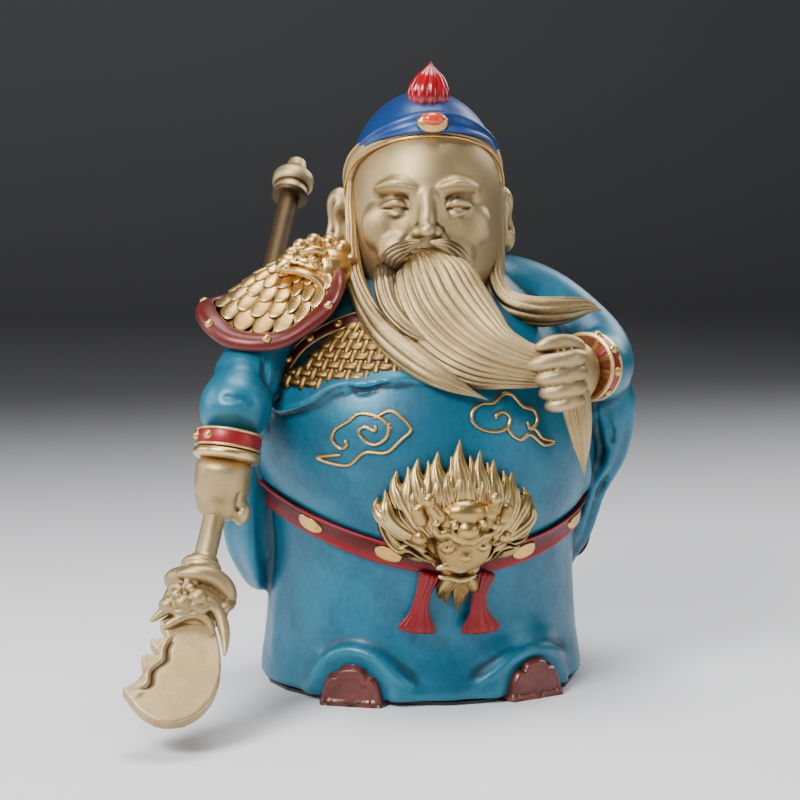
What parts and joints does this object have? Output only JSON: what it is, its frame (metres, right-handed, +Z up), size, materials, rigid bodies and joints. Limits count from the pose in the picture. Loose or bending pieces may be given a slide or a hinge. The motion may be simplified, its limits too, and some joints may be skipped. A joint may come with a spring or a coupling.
{
  "type": "statuette",
  "caption": "Stout bearded general in a long belted robe with an armoured shoulder, holding a long-handled glaive; painted cast-brass desk statuette.",
  "frame": {"origin": "middle of the underside, on the surface that the figure stands on", "axes": "+Z up; the figure looks along -Y, and its left hand is on the +X side"},
  "size_m": [0.1953, 0.1678, 0.23],
  "materials": {
    "teal_lacquer": "semi-gloss mottled lacquer",
    "blue_lacquer": "semi-gloss lacquer",
    "red_lacquer": "semi-gloss lacquer",
    "dark_red_lacquer": "satin lacquer",
    "brown_lacquer": "satin lacquer",
    "crimson_enamel": "gloss enamel",
    "orange_enamel": "gloss enamel",
    "satin_brass": "pale satin, finely grained",
    "gilt_brass": "warm polished gilt with dark recesses",
    "black_lacquer": "matt"
  },
  "bodies": {
    "root": {"base_plate": "black_lacquer", "right_shoe": "brown_lacquer", "left_shoe": "brown_lacquer", "robe": "teal_lacquer", "head": "satin_brass", "cap": "blue_lacquer", "cap_band": "gilt_brass", "jewel_setting": "gilt_brass", "cap_jewel": "orange_enamel", "cap_tassel": "crimson_enamel", "shoulder_guard": "gilt_brass", "shoulder_guard_rim": "dark_red_lacquer", "chest_mail": "gilt_brass", "chest_border": "dark_red_lacquer", "front_belt": "red_lacquer", "back_belt": "red_lacquer", "buckle": "gilt_brass", "right_sash_tail": "red_lacquer", "left_sash_tail": "red_lacquer", "right_cuff": "red_lacquer", "right_hand": "satin_brass", "left_cuff": "red_lacquer", "left_hand": "satin_brass", "glaive": "satin_brass", "right_cloud": "gilt_brass", "left_cloud": "gilt_brass"}
  },
  "joints": []
}
